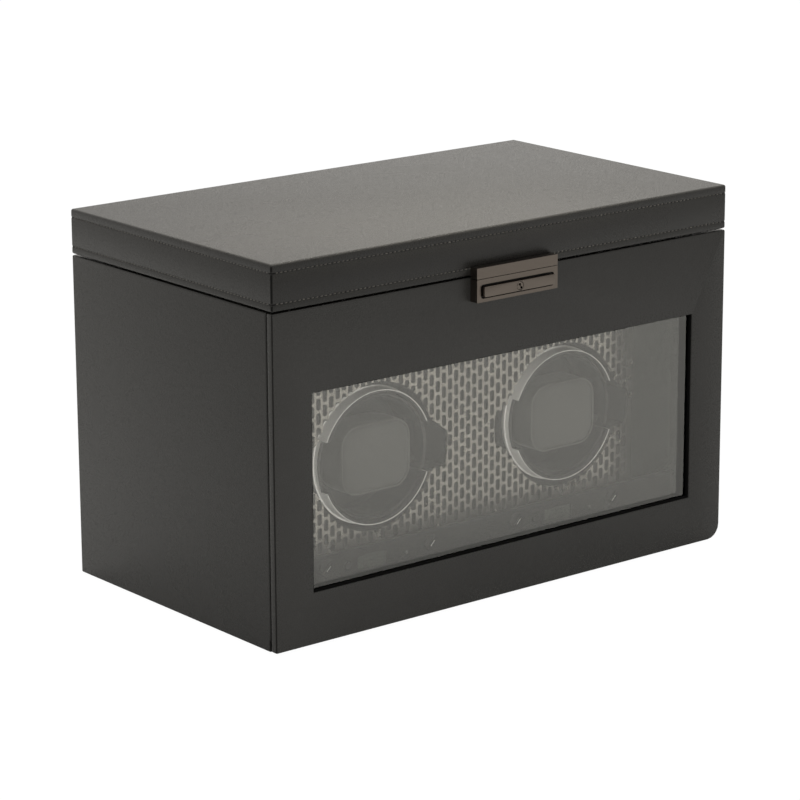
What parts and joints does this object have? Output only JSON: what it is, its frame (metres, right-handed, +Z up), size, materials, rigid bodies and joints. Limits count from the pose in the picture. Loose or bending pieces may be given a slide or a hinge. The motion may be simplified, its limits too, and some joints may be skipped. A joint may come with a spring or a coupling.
{
  "type": "watch winder box",
  "caption": "Leather-covered box that winds automatic watches on motor-driven drums behind a drop-down glass door, with a lidded storage tray above.",
  "frame": {"origin": "centre of the case's footprint, on the plane that the underside of the base pad stands on", "axes": "+Z up, -Y out of the front door, +X to the right as seen from the front"},
  "size_m": [0.34, 0.2078, 0.2226],
  "materials": {
    "leather": "dark grained artificial leather, satin",
    "suede": "dark grey short-nap suede",
    "felt": "black felt",
    "painted_board": "board painted black",
    "gunmetal": "brushed, warm gunmetal plating",
    "polished_rim": "polished",
    "lattice": "satin, perforated with staggered slots",
    "black_plastic": "fine moulded texture",
    "soft_touch": "soft-touch paint",
    "steel": "zinc-plated",
    "brass": "turned",
    "rubber": "matt",
    "circuit_board": "green solder mask",
    "screen": "glossy display face",
    "clear_glass": "clear float glass"
  },
  "bodies": {
    "case": {"felt_base_pad": "felt", "base_panel": "leather", "side_panel_left": "leather", "side_panel_right": "leather", "rear_panel": "leather", "shelf_panel": "painted_board", "storage_tray": "suede", "module_fascia": "black_plastic", "mesh_plate": "lattice", "drum_bush_left": "brass", "drum_bush_right": "brass", "belt_left": "rubber", "belt_right": "rubber", "motor_left": "steel", "motor_right": "steel", "motor_bracket_left": "steel", "motor_bracket_right": "steel", "display_left": "screen", "display_right": "screen", "control_board": "circuit_board", "power_jack": "black_plastic", "power_lead": "rubber", "door_pivot_left": "steel", "door_pivot_right": "steel", "hinge_case_leaf_left": "gunmetal", "hinge_case_leaf_right": "gunmetal", "hinge_pin_left": "steel", "hinge_pin_right": "steel"},
    "lid": {"lid_shell": "leather", "lid_lining": "suede", "lid_strike": "gunmetal", "hinge_lid_leaf_left": "gunmetal", "hinge_lid_leaf_right": "gunmetal"},
    "door": {"door_frame": "leather", "door_glass": "clear_glass", "glass_retainer": "painted_board", "lock_plate": "gunmetal"},
    "push_bar": {"push_bar": "gunmetal"},
    "key_plug": {"key_plug": "gunmetal"},
    "catch": {"catch_slide": "steel"},
    "storage_cushion_left": {"storage_cushion_left": "suede"},
    "storage_cushion_centre": {"storage_cushion_centre": "suede"},
    "storage_cushion_right": {"storage_cushion_right": "suede"},
    "drum_left": {"drum_cup_left": "black_plastic", "drum_rim_left": "polished_rim", "drum_pulley_left": "soft_touch"},
    "cuff_left": {"cuff_left": "suede"},
    "motor_pulley_left": {"motor_pulley_left": "brass"},
    "direction_knob_left": {"direction_knob_left": "soft_touch"},
    "turns_knob_left": {"turns_knob_left": "soft_touch"},
    "mode_button_left": {"mode_button_left": "soft_touch"},
    "drum_right": {"drum_cup_right": "black_plastic", "drum_rim_right": "polished_rim", "drum_pulley_right": "soft_touch"},
    "cuff_right": {"cuff_right": "suede"},
    "motor_pulley_right": {"motor_pulley_right": "brass"},
    "direction_knob_right": {"direction_knob_right": "soft_touch"},
    "turns_knob_right": {"turns_knob_right": "soft_touch"},
    "mode_button_right": {"mode_button_right": "soft_touch"}
  },
  "joints": [
    {"name": "lid_hinge", "type": "hinge", "parent": "case", "child": "lid", "pos_m": [0, 0.0998, 0.19555], "axis": [-1, 0, 0], "range_deg": [0, 95]},
    {"name": "door_hinge", "type": "hinge", "parent": "case", "child": "door", "pos_m": [0, -0.0942, 0.0049], "axis": [1, 0, 0], "range_deg": [0, 88]},
    {"name": "push_bar_press", "type": "slide", "parent": "door", "child": "push_bar", "axis": [0, 1, 0], "range_m": [0, 0.0015]},
    {"name": "catch_drop", "type": "slide", "parent": "door", "child": "catch", "axis": [0, 0, -1], "range_m": [0, 0.0015]},
    {"name": "key_turn", "type": "hinge", "parent": "push_bar", "child": "key_plug", "pos_m": [0, -0.1032, 0.1873], "axis": [0, 1, 0], "range_deg": [0, 90]},
    {"name": "drum_left_spin", "type": "hinge", "parent": "case", "child": "drum_left", "pos_m": [-0.0714, -0.0472, 0.0899], "axis": [0, 1, 0], "continuous": true},
    {"name": "motor_left_spin", "type": "hinge", "parent": "case", "child": "motor_pulley_left", "pos_m": [-0.0714, -0.0232, 0.0315], "axis": [0, 1, 0], "continuous": true},
    {"name": "cuff_left_pull", "type": "slide", "parent": "drum_left", "child": "cuff_left", "axis": [0, -1, 0], "range_m": [0, 0.018]},
    {"name": "direction_knob_left_turn", "type": "hinge", "parent": "case", "child": "direction_knob_left", "pos_m": [-0.1097, -0.0652, 0.0315], "axis": [0, 1, 0], "range_deg": [-45, 45]},
    {"name": "turns_knob_left_turn", "type": "hinge", "parent": "case", "child": "turns_knob_left", "pos_m": [-0.0331, -0.0652, 0.0315], "axis": [0, 1, 0], "range_deg": [0, 270]},
    {"name": "mode_button_left_press", "type": "slide", "parent": "case", "child": "mode_button_left", "axis": [0, 1, 0], "range_m": [0, 0.001]},
    {"name": "drum_right_spin", "type": "hinge", "parent": "case", "child": "drum_right", "pos_m": [0.0714, -0.0472, 0.0899], "axis": [0, 1, 0], "continuous": true},
    {"name": "motor_right_spin", "type": "hinge", "parent": "case", "child": "motor_pulley_right", "pos_m": [0.0714, -0.0232, 0.0315], "axis": [0, 1, 0], "continuous": true},
    {"name": "cuff_right_pull", "type": "slide", "parent": "drum_right", "child": "cuff_right", "axis": [0, -1, 0], "range_m": [0, 0.018]},
    {"name": "direction_knob_right_turn", "type": "hinge", "parent": "case", "child": "direction_knob_right", "pos_m": [0.0331, -0.0652, 0.0315], "axis": [0, 1, 0], "range_deg": [-45, 45]},
    {"name": "turns_knob_right_turn", "type": "hinge", "parent": "case", "child": "turns_knob_right", "pos_m": [0.1097, -0.0652, 0.0315], "axis": [0, 1, 0], "range_deg": [0, 270]},
    {"name": "mode_button_right_press", "type": "slide", "parent": "case", "child": "mode_button_right", "axis": [0, 1, 0], "range_m": [0, 0.001]},
    {"name": "storage_cushion_left_lift", "type": "slide", "parent": "case", "child": "storage_cushion_left", "axis": [0, 0, 1], "range_m": [0, 0.02]},
    {"name": "storage_cushion_centre_lift", "type": "slide", "parent": "case", "child": "storage_cushion_centre", "axis": [0, 0, 1], "range_m": [0, 0.02]},
    {"name": "storage_cushion_right_lift", "type": "slide", "parent": "case", "child": "storage_cushion_right", "axis": [0, 0, 1], "range_m": [0, 0.02]}
  ],
  "couplings": [
    {"joint": "catch_drop", "follows": "push_bar_press", "ratio": 1},
    {"joint": "motor_left_spin", "follows": "drum_left_spin", "ratio": 4},
    {"joint": "motor_right_spin", "follows": "drum_right_spin", "ratio": 4}
  ]
}
